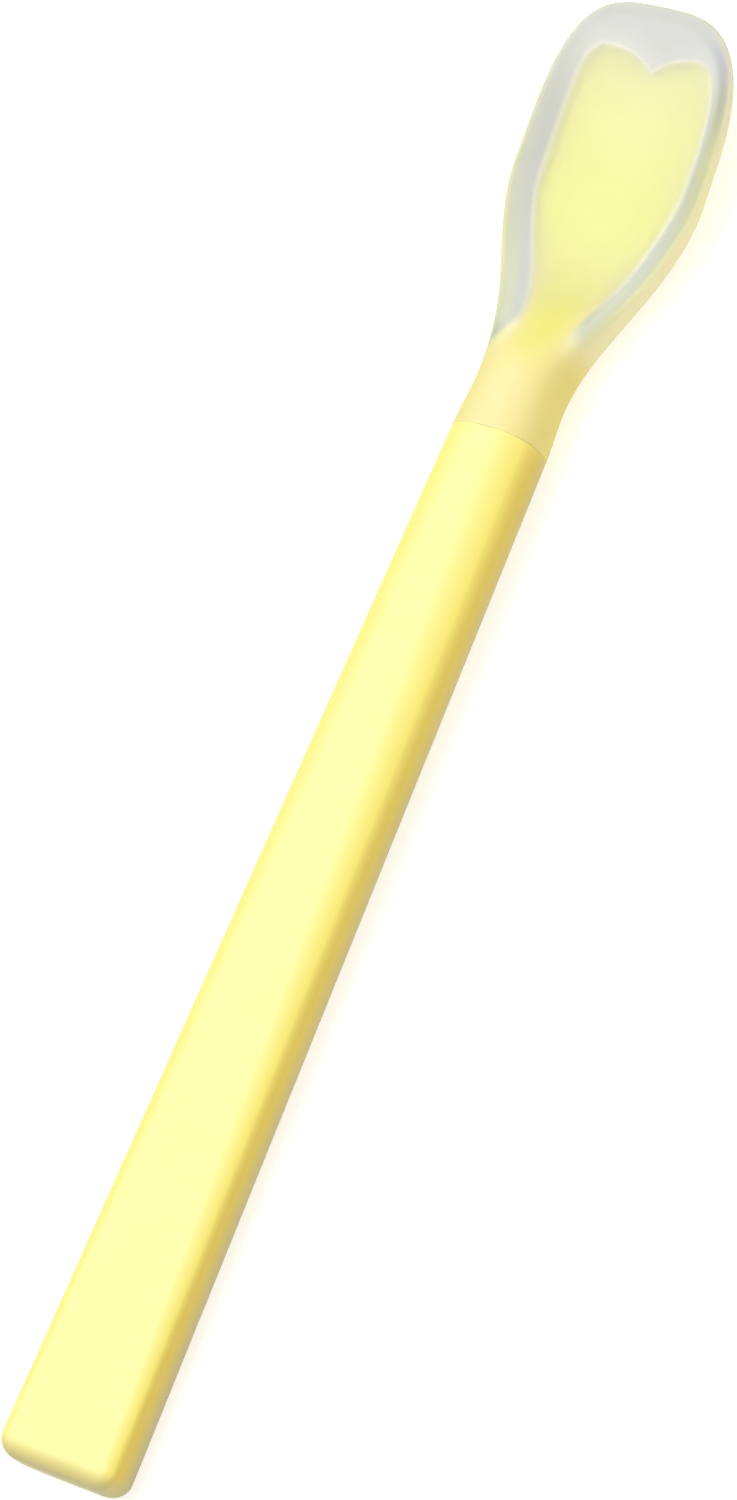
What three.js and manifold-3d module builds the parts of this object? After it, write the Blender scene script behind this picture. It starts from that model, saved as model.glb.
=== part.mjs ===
// A feeding spoon: a stiff handle, a stiff core and a soft silicone bowl moulded round the core.
// Millimetres, Z up. X runs along the spoon, from the butt of the handle to the tip of the bowl.
// Stations are measured along X from the butt, unless a comment says from the seam.

import * as THREE from 'three';
import { mergeVertices } from 'three/addons/utils/BufferGeometryUtils.js';
import Module from 'manifold-3d';

const wasm = await Module();
wasm.setup();

// Lengths: butt to seam, and seam to tip.
const HANDLE_LENGTH = 115;
const HEAD_LENGTH = 50;

// Handle: a bar that narrows and thickens from the butt to the neck.
const BUTT_WIDTH = 13.6;
const BUTT_THICKNESS = 6.1;
const BUTT_EDGE_RADIUS = 0.8;
const BUTT_CORNER_RADIUS = 2.2;
const BUTT_END_RADIUS = 1.1;
const NECK_WIDTH = 10.4;
const NECK_THICKNESS = 9.4;
const NECK_EDGE_RADIUS = 4.3;
const LEAST_FLAT = 0.1;

// Tang of the core, moulded into the handle, with grip notches on both sides.
const SOCKET_WALL = 1.9;
const TANG_LENGTH = 46;
const TANG_END_WIDTH = 5.4;
const TANG_END_HEIGHT = 3.6;
const TANG_SQUARENESS = 5;
const NOTCH_FIRST = 10;
const NOTCH_PITCH = 10;
const NOTCH_COUNT = 3;
const NOTCH_LENGTH = 3;
const NOTCH_DEPTH = 0.8;
const NOTCH_RAMP = 0.5;

// Silicone in plan, with places measured from the seam.
const WAIST_WIDTH = 9.7;
const WAIST_AT = 6;
const BOWL_WIDTH = 22.2;
const BOWL_WIDEST_AT = 31.5;
const TIP_SQUARENESS = 3.3;

// Silicone in height: the rim climbs towards the tip, the keel stays just off the table.
const RIM_HEIGHT = 5.95;
const RIM_CLIMB = 0.12;
const TIP_RISE = 1.85;
const KEEL_LIFT = 0.2;
const WALL_ROUNDNESS = 1.9;
const SLEEVE_ROUNDNESS = 2.35;
const FLARE_FULLNESS = 0.6;

// Rolled rim: its width and height, fuller at the back of the bowl, the share of its width at which
// it crests, and how widely the dish blends into it.
const RIM_WIDTH = 1.4;
const RIM_WIDTH_BACK = 2.4;
const ROLL_HEIGHT = 0.45;
const ROLL_HEIGHT_BACK = 1.25;
const BACK_FROM = 11;
const BACK_TO = 35;
const CREST_SHARE = 0.35;
const CREST_BLEND = 0.5;

// Dish: how steeply its sides and its front climb, and where it grows out of the neck.
const SIDE_POWER = 2.1;
const FRONT_POWER = 2;
const DISH_FROM = 7;
const DISH_TO = 23;

// Core inside the silicone: the silicone left round it, its thickness, and its two-lobed front with
// the shares by which its curves are pulled. Places are measured from the seam.
const SLEEVE_WALL = 1;
const WAIST_WALL = 1.35;
const RIM_MARGIN = 2.4;
const LIP_LENGTH = 4.2;
const UPPER_SKIN = 0.6;
const UNDER_SKIN = 1.25;
const CORE_THICKNESS = 1.6;
const CORE_WAIST_AT = 12;
const CORE_FLARE_FROM = 11;
const CORE_WIDEST_AT = 32;
const LOBE_LENGTH = 10.8;
const LOBE_SPREAD = 10;
const LOBE_NOTCH = 1.8;
const LOBE_SIDE_PULL = 0.7;
const LOBE_FRONT_PULL = 0.76;
const NOTCH_RIM_PULL = 0.5;
const NOTCH_FOOT_PULL = 0.2;
const STEM_ROUNDNESS = 2.2;
const EDGE_SOFTNESS = 0.3;
const EDGE_POWER = 14;

// Clearances: round the core in its socket and pocket, along the seam, and cuts past a face.
const CORE_GAP = 0.2;
const SEAM_GAP = 0.1;
const CUT_PAST = 1;

// Samples along and round the pieces, and how near to each other points are one.
const HANDLE_RIBS = 9;
const STRAIGHT_RIBS = 24;
const FAN_RIBS = 16;
const WALL_POINTS = 9;
const ROLL_POINTS = 5;
const DISH_POINTS = 9;
const CORE_POINTS = 8;
const ARC_POINTS = 6;
const SAME_POINT = 1e-4;

const SEAM = HANDLE_LENGTH;
const LENGTH = HANDLE_LENGTH + HEAD_LENGTH;
const BOWL_WIDEST = SEAM + BOWL_WIDEST_AT;
const TIP_REACH = HEAD_LENGTH - BOWL_WIDEST_AT;
const SHOULDER = SEAM + SEAM_GAP + CORE_GAP;
const FLOOR_HEIGHT = KEEL_LIFT + UNDER_SKIN + CORE_THICKNESS + UPPER_SKIN;
const TANG_WIDTH = NECK_WIDTH - 2 * SOCKET_WALL;
const TANG_HEIGHT = NECK_THICKNESS - 2 * SOCKET_WALL;
const CORE_WAIST_WIDTH = WAIST_WIDTH - 2 * WAIST_WALL;
const CORE_WIDTH = BOWL_WIDTH - 2 * RIM_MARGIN;
const LOBE_TOP = LENGTH - LIP_LENGTH;
const CORE_POLE = LOBE_TOP - LOBE_LENGTH;

const clamp01 = (t) => Math.min(1, Math.max(0, t));
const smooth = (t) => clamp01(t) ** 2 * (3 - 2 * clamp01(t));
const mix = (a, b, t) => a + (b - a) * t;
const steps = (count) => Array.from({ length: count }, (_, i) => i / (count - 1));
const between = (from, to, count) => steps(count).map((t) => mix(from, to, t));
const ramp = (s, from, to) => smooth((s - from) / (to - from));

// Height, above or below the middle of a rounded section, at a share u of its half width.
const bulge = (u, power) => Math.max(0, 1 - clamp01(u) ** power) ** (1 / power);

// Makes a closed body from ribs. Each rib is the left half of a cross-section, from the middle
// of the underside out to the edge and back to the middle of the top, as [station, y, z] points.
// The right half is its mirror image. A rib on the middle plane closes the front by itself.
function carry(ribs) {
  const places = [];
  const faces = [];
  const rows = ribs.length;
  const columns = ribs[0].length;
  for (const side of [1, -1]) {
    for (const rib of ribs) {
      for (const [s, y, z] of rib) {
        places.push(s - LENGTH / 2, side * y, z);
      }
    }
  }
  const left = (i, j) => i * columns + j;
  const right = (i, j) => (rows + i) * columns + j;
  const quad = (a, b, c, d) => faces.push(a, b, c, a, c, d);
  for (let j = 0; j + 1 < columns; j += 1) {
    for (let i = 0; i + 1 < rows; i += 1) {
      quad(left(i, j), left(i, j + 1), left(i + 1, j + 1), left(i + 1, j));
      quad(right(i, j), right(i + 1, j), right(i + 1, j + 1), right(i, j + 1));
    }
    quad(left(0, j), right(0, j), right(0, j + 1), left(0, j + 1));
    const end = rows - 1;
    quad(left(end, j), left(end, j + 1), right(end, j + 1), right(end, j));
  }
  const geometry = new THREE.BufferGeometry();
  geometry.setAttribute('position', new THREE.Float32BufferAttribute(places, 3));
  geometry.setIndex(faces);
  const welded = mergeVertices(geometry, SAME_POINT);
  const index = welded.index.array;
  const kept = [];
  const seen = new Map();
  for (let t = 0; t < index.length; t += 3) {
    const [a, b, c] = index.slice(t, t + 3);
    if (a !== b && b !== c && c !== a) {
      const key = [a, b, c].sort((p, q) => p - q).join(' ');
      seen.set(key, (seen.get(key) ?? 0) + 1);
      kept.push([key, a, b, c]);
    }
  }
  // Triangles that fold flat onto each other on the middle plane are dropped in pairs.
  const triangles = kept.filter(([key]) => seen.get(key) === 1).flatMap(([, a, b, c]) => [a, b, c]);
  return new wasm.Manifold(new wasm.Mesh({
    numProp: 3,
    vertProperties: new Float32Array(welded.attributes.position.array),
    triVerts: new Uint32Array(triangles),
  }));
}

function meshOf(body, name, material) {
  const { vertProperties, triVerts, numProp } = body.getMesh();
  const geometry = new THREE.BufferGeometry();
  const places = new Float32Array((vertProperties.length / numProp) * 3);
  for (let i = 0; i < places.length / 3; i += 1) {
    places.set(vertProperties.subarray(i * numProp, i * numProp + 3), i * 3);
  }
  geometry.setAttribute('position', new THREE.BufferAttribute(places, 3));
  geometry.setIndex(new THREE.BufferAttribute(new Uint32Array(triVerts), 1));
  geometry.computeVertexNormals();
  const mesh = new THREE.Mesh(geometry, material);
  mesh.name = name;
  return mesh;
}

// Handle

const handleWidth = (s) => mix(BUTT_WIDTH, NECK_WIDTH, s / HANDLE_LENGTH);
const handleThickness = (s) => mix(BUTT_THICKNESS, NECK_THICKNESS, s / HANDLE_LENGTH);
const handleEdge = (s) => mix(BUTT_EDGE_RADIUS, NECK_EDGE_RADIUS, s / HANDLE_LENGTH);

// How far a round of this radius has drawn the surface in at station s from the butt.
const drawnIn = (s, radius) => radius - Math.sqrt(radius ** 2 - Math.max(0, radius - s) ** 2);

function handleRib(s) {
  const a = handleWidth(s) / 2 - drawnIn(s, BUTT_CORNER_RADIUS);
  const middle = handleThickness(s) / 2;
  const b = middle - drawnIn(s, BUTT_END_RADIUS);
  const full = handleEdge(s) - drawnIn(s, BUTT_END_RADIUS) / 2;
  const r = Math.min(full, a - LEAST_FLAT, b - LEAST_FLAT);
  const arc = between(-Math.PI / 2, 0, ARC_POINTS);
  const under = arc.map((t) => [s, a - r + r * Math.cos(t), middle - b + r + r * Math.sin(t)]);
  const over = arc.map((t) => [s, a - r - r * Math.sin(t), middle + b - r + r * Math.cos(t)]);
  return [[s, 0, middle - b], ...under, ...over, [s, 0, middle + b]];
}

// Half section of the core: heights over a row of shares u of its half width, under then over.
function coreRib(place, shares, heights) {
  const under = shares.map((u) => [...place(u), heights(u, -1)]);
  const over = shares.map((u) => [...place(u), heights(u, 1)]).reverse();
  return [...under, ...over];
}

// Stations where each grip notch starts and ends. Growing the tang shortens its notches.
function notches(grow) {
  return Array.from({ length: NOTCH_COUNT }, (_, i) => {
    const end = SEAM - NOTCH_FIRST - (NOTCH_COUNT - 1 - i) * NOTCH_PITCH;
    return { from: end - NOTCH_LENGTH + grow, to: end - grow };
  });
}

function tangRib(s, grow, depth) {
  const t = clamp01((s - SEAM + TANG_LENGTH) / TANG_LENGTH);
  const a = mix(TANG_END_WIDTH, TANG_WIDTH, t) / 2 + grow - depth;
  const b = mix(TANG_END_HEIGHT, TANG_HEIGHT, t) / 2 + grow;
  const middle = handleThickness(Math.min(s, SEAM)) / 2;
  const shares = steps(CORE_POINTS).map((v) => Math.sin(v * Math.PI / 2) ** (2 / TANG_SQUARENESS));
  return coreRib((u) => [s, u * a], shares, (u, way) => middle + way * b * bulge(u, TANG_SQUARENESS));
}

function tangRibs(from, to, grow) {
  const grips = notches(grow).flatMap((notch) => [
    tangRib(notch.from, grow, 0),
    tangRib(notch.from + NOTCH_RAMP, grow, NOTCH_DEPTH),
    tangRib(notch.to - NOTCH_RAMP, grow, NOTCH_DEPTH),
    tangRib(notch.to, grow, 0),
  ]);
  return [tangRib(from, grow, 0), ...grips, tangRib(to, grow, 0)];
}

// Silicone

// Half width of the sleeve and bowl, as far as the bowl's widest place.
function bowlHalfWidth(s) {
  const sleeve = mix(NECK_WIDTH, WAIST_WIDTH, ramp(s, SEAM, SEAM + WAIST_AT)) / 2;
  return sleeve + (BOWL_WIDTH - WAIST_WIDTH) / 2 * ramp(s, SEAM + WAIST_AT, BOWL_WIDEST);
}

// The rib of the bowl through a place in plan. Ribs cross the spoon as far as the widest place
// and fan out from there round the tip, whose outline is a squarish ellipse.
function ribThrough(s, y) {
  const ahead = s - BOWL_WIDEST;
  if (ahead <= 0) {
    return { spine: s, reach: bowlHalfWidth(s), out: Math.abs(y), forward: 0 };
  }
  const out = Math.hypot(ahead, y);
  const n = TIP_SQUARENESS;
  const share = ((ahead / TIP_REACH) ** n + (Math.abs(y) / (BOWL_WIDTH / 2)) ** n) ** (1 / n);
  return { spine: BOWL_WIDEST, reach: out / share, out, forward: ahead / out };
}

// Height of the widest line, and how far the section has turned from neck to dish.
function lineOf(rib) {
  const s = rib.spine + rib.forward * rib.reach;
  const toTip = clamp01((s - BOWL_WIDEST) / TIP_REACH);
  const rim = RIM_HEIGHT + RIM_CLIMB * (s - BOWL_WIDEST) + TIP_RISE * toTip ** 2;
  const dish = ramp(rib.spine, SEAM + DISH_FROM, SEAM + DISH_TO);
  const back = 1 - ramp(s, SEAM + BACK_FROM, SEAM + BACK_TO);
  const toFront = ramp(s, SEAM + DISH_FROM, LENGTH);
  const flare = FLARE_FULLNESS * 4 * back * (1 - back);
  return {
    dish,
    height: mix(NECK_THICKNESS / 2, rim, dish),
    keel: KEEL_LIFT * ramp(rib.spine, SEAM, SEAM + WAIST_AT),
    inner: rib.reach - mix(RIM_WIDTH, RIM_WIDTH_BACK, back),
    roll: mix(ROLL_HEIGHT, ROLL_HEIGHT_BACK, back),
    roundness: mix(SLEEVE_ROUNDNESS, WALL_ROUNDNESS, toFront) + flare,
    power: mix(SIDE_POWER, FRONT_POWER, rib.forward ** 2),
  };
}

// Height of the dish alone, above its floor, at a distance out along the rib.
const dishHeight = (line, out) =>
  FLOOR_HEIGHT + (line.height - FLOOR_HEIGHT) * (out / line.inner) ** line.power;

// Height of the silicone's top: the neck's round top turning into dish and rolled rim. The dish
// climbs on past its edge until it meets the roll, which falls to the widest line by a quarter of
// an ellipse. The two are blended by a smooth minimum.
function topHeight(rib, line, out) {
  const crestAt = mix(line.inner, rib.reach, CREST_SHARE);
  const fall = clamp01((out - crestAt) / (rib.reach - crestAt));
  const roll = line.height + line.roll * Math.sqrt(1 - fall ** 2);
  const climb = dishHeight(line, out);
  const near = Math.max(0, CREST_BLEND - Math.abs(climb - roll));
  const hollow = Math.min(climb, roll) - near ** 2 / (4 * CREST_BLEND);
  const round = line.height + (NECK_THICKNESS - line.height) * bulge(out / rib.reach, SLEEVE_ROUNDNESS);
  return mix(round, hollow, line.dish);
}

function bowlRib(rib) {
  const line = lineOf(rib);
  const side = Math.sqrt(1 - rib.forward ** 2);
  const at = (out, z) => [rib.spine + rib.forward * out, side * out, z];
  const wall = steps(WALL_POINTS).map((t) => {
    const out = rib.reach * Math.sin(t * Math.PI / 2) ** (2 / line.roundness);
    const drop = (line.height - line.keel) * bulge(out / rib.reach, line.roundness);
    return at(out, line.height - drop);
  });
  const rim = steps(ROLL_POINTS + 2).slice(1, -1);
  const outs = [
    ...rim.map((t) => mix(rib.reach, line.inner, (1 - Math.cos(t * Math.PI)) / 2)),
    ...steps(DISH_POINTS).slice(0, -1).map((t) => line.inner * Math.cos(t * Math.PI / 2)),
    0,
  ];
  return [...wall, ...outs.map((out) => at(out, topHeight(rib, line, out)))];
}

function bowlRibs() {
  const straight = between(SEAM + SEAM_GAP, BOWL_WIDEST, STRAIGHT_RIBS).map((s) => ribThrough(s, 0));
  const fan = between(Math.PI / 2, 0, FAN_RIBS).slice(1).map((angle, i) => {
    const last = i === FAN_RIBS - 2;
    const far = ribThrough(BOWL_WIDEST + Math.cos(angle), last ? 0 : Math.sin(angle));
    return { ...far, forward: last ? 1 : far.forward };
  });
  return [...straight, ...fan].map(bowlRib);
}

// Core

function coreHalfWidth(s) {
  const stem = mix(NECK_WIDTH - 2 * SLEEVE_WALL, CORE_WAIST_WIDTH, ramp(s, SEAM, SEAM + CORE_WAIST_AT));
  const flare = ramp(s, SEAM + CORE_FLARE_FROM, SEAM + CORE_WIDEST_AT);
  return (stem + (CORE_WIDTH - CORE_WAIST_WIDTH) * flare) / 2;
}

// Left half of the paddle's front: round the lobe and down to the notch on the middle line.
function lobeOutline() {
  const half = coreHalfWidth(CORE_POLE);
  const crest = LOBE_SPREAD / 2;
  const path = new THREE.Path();
  const notch = LOBE_TOP - LOBE_NOTCH;
  const halfway = (LOBE_TOP + notch) / 2;
  const side = mix(CORE_POLE, LOBE_TOP, LOBE_SIDE_PULL);
  path.moveTo(CORE_POLE, half);
  path.bezierCurveTo(side, half, LOBE_TOP, mix(crest, half, LOBE_FRONT_PULL), LOBE_TOP, crest);
  path.bezierCurveTo(LOBE_TOP, crest * NOTCH_RIM_PULL, halfway, crest * NOTCH_FOOT_PULL, notch, 0);
  return path.getPoints(FAN_RIBS / 2);
}

// Heights of the stem and paddle at a plan place, for a share u of the half width.
function coreHeight(s, y, u, way, grow) {
  const rib = ribThrough(s, y);
  const line = lineOf(rib);
  const top = NECK_THICKNESS - SLEEVE_WALL + grow;
  const bottom = SLEEVE_WALL - grow;
  const stem = (top + bottom) / 2 + way * (top - bottom) / 2 * bulge(u, STEM_ROUNDNESS);
  const middle = dishHeight(line, Math.min(rib.out, line.inner)) - UPPER_SKIN - CORE_THICKNESS / 2;
  const soft = 1 - EDGE_SOFTNESS * u ** EDGE_POWER;
  const paddle = middle + way * (CORE_THICKNESS / 2 * soft + grow);
  return mix(stem, paddle, line.dish);
}

function paddleRibs(from, grow) {
  const shares = steps(CORE_POINTS).map((t) => Math.sin(t * Math.PI / 2));
  const stations = between(from, CORE_POLE, STRAIGHT_RIBS);
  const straight = stations.map((s) => ({ s, dx: 0, dy: coreHalfWidth(s) + grow }));
  const fan = lobeOutline().slice(1).map((point) => {
    const ahead = point.x - CORE_POLE;
    const longer = 1 + grow / Math.hypot(ahead, point.y);
    return { s: CORE_POLE, dx: ahead * longer, dy: point.y * longer };
  });
  return [...straight, ...fan].map(({ s, dx, dy }) => coreRib(
    (u) => [s + u * dx, u * dy],
    shares,
    (u, way) => coreHeight(s + u * dx, u * dy, u, way, grow),
  ));
}

// The three pieces

const handleStations = [
  ...between(0, Math.PI / 2, ARC_POINTS).map((t) => BUTT_CORNER_RADIUS * (1 - Math.cos(t))),
  ...between(BUTT_CORNER_RADIUS, SEAM, HANDLE_RIBS).slice(1),
];
const bar = carry(handleStations.map(handleRib));
const socket = carry(tangRibs(SEAM - TANG_LENGTH - CORE_GAP, SEAM + CUT_PAST, CORE_GAP));
const handle = bar.subtract(socket);

const core = carry([...tangRibs(SEAM - TANG_LENGTH, SHOULDER, 0), ...paddleRibs(SHOULDER, 0)]);

const shell = carry(bowlRibs());
const pocket = carry(paddleRibs(SEAM - CUT_PAST, CORE_GAP));
const bowl = shell.subtract(pocket);

const handlePlastic = new THREE.MeshStandardMaterial({ color: 0xfbeb96, roughness: 0.55, metalness: 0 });
const corePlastic = new THREE.MeshStandardMaterial({ color: 0xf4ee98, roughness: 0.5, metalness: 0 });
const silicone = new THREE.MeshStandardMaterial({
  color: 0xe6e8e2, roughness: 0.4, metalness: 0, transparent: true, opacity: 0.5,
});

const spoon = new THREE.Group();
spoon.name = 'silicone_spoon';
spoon.add(meshOf(handle, 'handle', handlePlastic));
spoon.add(meshOf(core, 'core', corePlastic));
spoon.add(meshOf(bowl, 'silicone_bowl', silicone));

export default spoon;
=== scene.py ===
"""A soft feeding spoon on a pale floor: a satin plastic handle, and a milky silicone bowl moulded
round a stiff yellow core that shows through it.

Lengths below are in millimetres and the meshes are in metres. X runs along the spoon from the
butt of the handle to the tip of the bowl, Y to the spoon's left, and Z is up. Stations are measured
along X from the butt.
"""

import bpy
import numpy as np
from mathutils import Matrix, Vector


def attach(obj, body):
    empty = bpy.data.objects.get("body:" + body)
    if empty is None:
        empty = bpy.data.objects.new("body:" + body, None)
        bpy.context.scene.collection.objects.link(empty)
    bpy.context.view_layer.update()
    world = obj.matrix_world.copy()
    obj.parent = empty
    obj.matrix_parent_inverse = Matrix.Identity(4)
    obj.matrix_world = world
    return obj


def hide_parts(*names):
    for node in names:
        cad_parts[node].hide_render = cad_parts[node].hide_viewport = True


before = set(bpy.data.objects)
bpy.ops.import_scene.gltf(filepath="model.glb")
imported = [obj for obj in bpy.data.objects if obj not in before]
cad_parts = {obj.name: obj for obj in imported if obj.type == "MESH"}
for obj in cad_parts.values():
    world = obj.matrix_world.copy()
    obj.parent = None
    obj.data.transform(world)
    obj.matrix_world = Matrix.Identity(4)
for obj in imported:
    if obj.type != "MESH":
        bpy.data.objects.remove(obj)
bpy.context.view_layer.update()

MM = 0.001

# Lengths: butt to seam, and seam to tip.
HANDLE_LENGTH = 115.0
HEAD_LENGTH = 50.0
LENGTH = HANDLE_LENGTH + HEAD_LENGTH
SEAM = HANDLE_LENGTH

# Handle: a bar that narrows and thickens from the butt to the neck. The radius of its edges stays under
# a share of its half width and half thickness, and shrinks by a share of the rounding of its ends.
BUTT_WIDTH, NECK_WIDTH = 13.6, 10.4
BUTT_THICKNESS, NECK_THICKNESS = 6.1, 9.4
BUTT_EDGE_RADIUS, NECK_EDGE_RADIUS = 1.4, 4.3
EDGE_LIMIT, EDGE_SHRINK = 0.95, 0.5
BUTT_CORNER_RADIUS, BUTT_END_RADIUS = 2.2, 1.8
SEAM_EDGE_RADIUS = 0.03
NECK_MIDDLE = NECK_THICKNESS / 2

# Tang of the core and its socket in the handle, with grip notches on both sides.
SOCKET_WALL = 1.9
TANG_LENGTH = 46.0
TANG_END_WIDTH, TANG_END_HEIGHT = 5.4, 3.6
TANG_WIDTH, TANG_HEIGHT = NECK_WIDTH - 2 * SOCKET_WALL, NECK_THICKNESS - 2 * SOCKET_WALL
TANG_SQUARENESS = 5.0
NOTCH_FIRST, NOTCH_PITCH, NOTCH_COUNT = 10.0, 10.0, 3
NOTCH_LENGTH, NOTCH_DEPTH, NOTCH_RAMP = 3.0, 0.8, 0.5

# Silicone in plan, with places measured from the seam.
WAIST_WIDTH, WAIST_AT = 9.7, 6.0
BOWL_WIDTH, BOWL_WIDEST_AT = 22.2, 31.5
TIP_SQUARENESS = 3.3
BOWL_WIDEST = SEAM + BOWL_WIDEST_AT
TIP_REACH = HEAD_LENGTH - BOWL_WIDEST_AT

# Silicone in height: the rim climbs towards the tip, the keel stays just off the table.
RIM_HEIGHT, RIM_CLIMB, TIP_RISE = 5.95, 0.12, 1.85
KEEL_LIFT = 0.2
WALL_ROUNDNESS, SLEEVE_ROUNDNESS, FLARE_FULLNESS = 1.9, 2.35, 0.6

# Rolled rim: its width and height, fuller at the back of the bowl, the share of its width at which
# it crests, and how widely the dish blends into it.
RIM_WIDTH, RIM_WIDTH_BACK = 1.4, 2.4
ROLL_HEIGHT, ROLL_HEIGHT_BACK = 0.45, 1.25
BACK_FROM, BACK_TO = 11.0, 35.0
CREST_SHARE, CREST_BLEND = 0.35, 0.5

# Dish: how steeply its sides and its front climb, and where it grows out of the neck.
SIDE_POWER, FRONT_POWER = 2.1, 2.0
DISH_FROM, DISH_TO = 7.0, 23.0

# Core inside the silicone, with a two-lobed front.
SLEEVE_WALL, WAIST_WALL = 1.0, 1.35
RIM_MARGIN, LIP_LENGTH = 2.4, 4.2
UPPER_SKIN, UNDER_SKIN, CORE_THICKNESS = 0.6, 1.25, 1.6
CORE_WAIST_AT, CORE_FLARE_FROM, CORE_WIDEST_AT = 12.0, 11.0, 32.0
LOBE_LENGTH, LOBE_SPREAD, LOBE_NOTCH = 10.8, 10.0, 1.8
STEM_ROUNDNESS = 2.2
DISH_FLOOR = KEEL_LIFT + UNDER_SKIN + CORE_THICKNESS + UPPER_SKIN
CORE_WAIST_WIDTH = WAIST_WIDTH - 2 * WAIST_WALL
CORE_WIDTH = BOWL_WIDTH - 2 * RIM_MARGIN
LOBE_TOP = LENGTH - LIP_LENGTH
CORE_POLE = LOBE_TOP - LOBE_LENGTH

# How far the curves of the lobe's side and top, and of the notch's top, depth and side, are pulled, as
# shares of their reach, and how much and how late the paddle thins at its edge.
LOBE_SIDE_PULL, LOBE_TOP_PULL = 0.7, 0.76
NOTCH_TOP_PULL, NOTCH_DEPTH_PULL, NOTCH_SIDE_PULL = 0.5, 0.5, 0.2
EDGE_SOFTNESS, EDGE_POWER = 0.3, 14

# Clearances: round the core in the handle's socket, and along the seam.
CORE_GAP = 0.2
SEAM_GAP = 0.03
SHOULDER = SEAM + SEAM_GAP + CORE_GAP

# Fineness of the skins: sections along the handle, the silicone and the core, and points round them.
BUTT_RIBS, BAR_RIBS, SEAM_RIBS = 14, 60, 6
FLAT_POINTS, EDGE_POINTS, SIDE_POINTS = 12, 20, 8
BOWL_RIBS, TIP_RIBS = 130, 90
WALL_POINTS, RIM_POINTS, DISH_POINTS = 34, 22, 44
CORE_RIBS, LOBE_RIBS, NOTCH_RIBS, CORE_POINTS = 110, 60, 40, 30
WELDS_PER_MM = 1e4

# Tones that the silicone's skin holds for its finish, some of them painted light and shade. Their places
# are measured from the seam, their distances from the core's edge outwards, and their shares of the rim's
# width from the widest line inwards. The outer wall's tones turn into the dish's over the first share of
# that width.
SILICONE_TONES = ("milk", "warm", "deep", "rolled", "rear", "yellow", "dim")
WALL_TURN = 0.7

# Milk: where it sets in along the sleeve, the distances over which it grows on top and on the outer wall,
# and a faint haze towards the core's edge and over its lobes.
MILK_SETS_IN, MILK_SET = 8.0, 13.0
MILK_FROM, MILK_FULL = -1.2, 0.2
WALL_FROM, WALL_FULL = 0.0, 3.5
HAZE, HAZE_FROM, LOBE_HAZE = 0.15, -4.0, 0.12

# Warmth: where it fades from the sleeve, at a slant on the rim, and from the tongue down the back of the
# dish, and how much of it the outer wall keeps at the tip.
SLEEVE_FADE, SLEEVE_END, SLEEVE_SLANT = 11.5, 14.5, 1.8
TONGUE_FADE, TONGUE_END = 13.0, 27.0
TIP_WARMTH = 0.3

# Deep yellow painted as shade on the sleeve's top and the slope behind the dish: its places, and how
# far inside the core's edge it begins to fade.
DEEP_FROM, DEEP_FULL, DEEP_FADE, DEEP_END, DEEP_EDGE = 5.0, 13.0, 18.0, 27.0, -2.6

# Rolled rim, whose top takes a darker band painted as shade: where it grows out of the neck, the shares
# of its width at which it has risen and at which it fades, how much of it is left at the lip, and where
# the rear tones of rim and wall turn into the front ones.
ROLL_FROM, ROLL_FULL = 7.0, 15.0
ROLL_RISE, ROLL_WIDTH, ROLL_FADE = 0.18, 0.9, 0.4
TIP_ROLL = 0.35
REAR_FROM, REAR_TO = 14.0, 38.0

# Lean of the core's picture in the skin to the right, as the photograph's view has it, since the core lies
# deeper than the rolled rim, and how much later the rolled rim grows out of the neck on the right for it.
LEAN_REAR, LEAN_FRONT, LEAN_FROM, LEAN_TO = 1.0, 0.15, 11.0, 28.0
ROLL_SLANT = 2.0

# Right-hand rim, the near one in the photograph and away from its light: the shares of its width over which
# its tone changes, and the places where painted light gives it the core's yellow and where painted shade
# darkens it.
NEAR_RISE, NEAR_FULL, NEAR_FADE, YELLOW_WIDTH, NEAR_SHADE_WIDTH = 0.1, 0.45, 0.9, 2.1, 1.7
YELLOW_PLACES = (22.0, 35.0, 40.0, 46.0)
NEAR_SHADE_PLACES = (35.0, 42.0, 45.0, 48.5)

# Foot of the handle's sides, greyer by a painted contact shadow: how high it reaches at the butt and
# at the neck.
FOOT_SHADOW_AT_BUTT, FOOT_SHADOW_AT_NECK = 4.6, 6.4

# Camera: how the spoon is turned in the photograph's view, in degrees, and where the view is centred.
VIEW_ROLL, VIEW_TILT, VIEW_SPIN = np.radians([-26.719, 13.539, -23.424])
SHIFT_X, SHIFT_Y, DISTANCE = 2.484, 0.924, 473.953
FOCAL_PIXELS, PHOTO_HEIGHT = 4600.0, 1500.0
NEAREST_SEEN = 10.0

# Stage: the floor lies a hair below the handle's flat underside, so that the two don't share a plane. It
# is lifted to white where it is seen, and the world is dimmer where it lights the spoon.
FLOOR_HALF, FLOOR_DROP = 1500.0, 0.05
FLOOR_TONE, FLOOR_LIFT = 0.9, 0.5
WORLD_LIGHT = 0.4
WHITE = (1, 1, 1, 1)


def smooth(t):
    """An even S from 0 to 1 as t goes from 0 to 1: 3 t^2 - 2 t^3."""
    t = np.clip(t, 0.0, 1.0)
    return t * t * (3 - 2 * t)


def ramp(s, start, end):
    """The same S as s goes from its start to its end."""
    return smooth((s - start) / (end - start))


def hump(s, rise, full, fade, end):
    """An S up from rise to full, times an S down from fade to end."""
    return ramp(s, rise, full) * (1 - ramp(s, fade, end))


def mix(a, b, t):
    """The value a share t of the way from a to b."""
    return a + (b - a) * t


def bulge(u, power):
    """Height of a rounded section at a share u of its half width: (1 - u^p)^(1/p)."""
    return np.maximum(0.0, 1 - np.clip(u, 0, 1) ** power) ** (1 / power)


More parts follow.
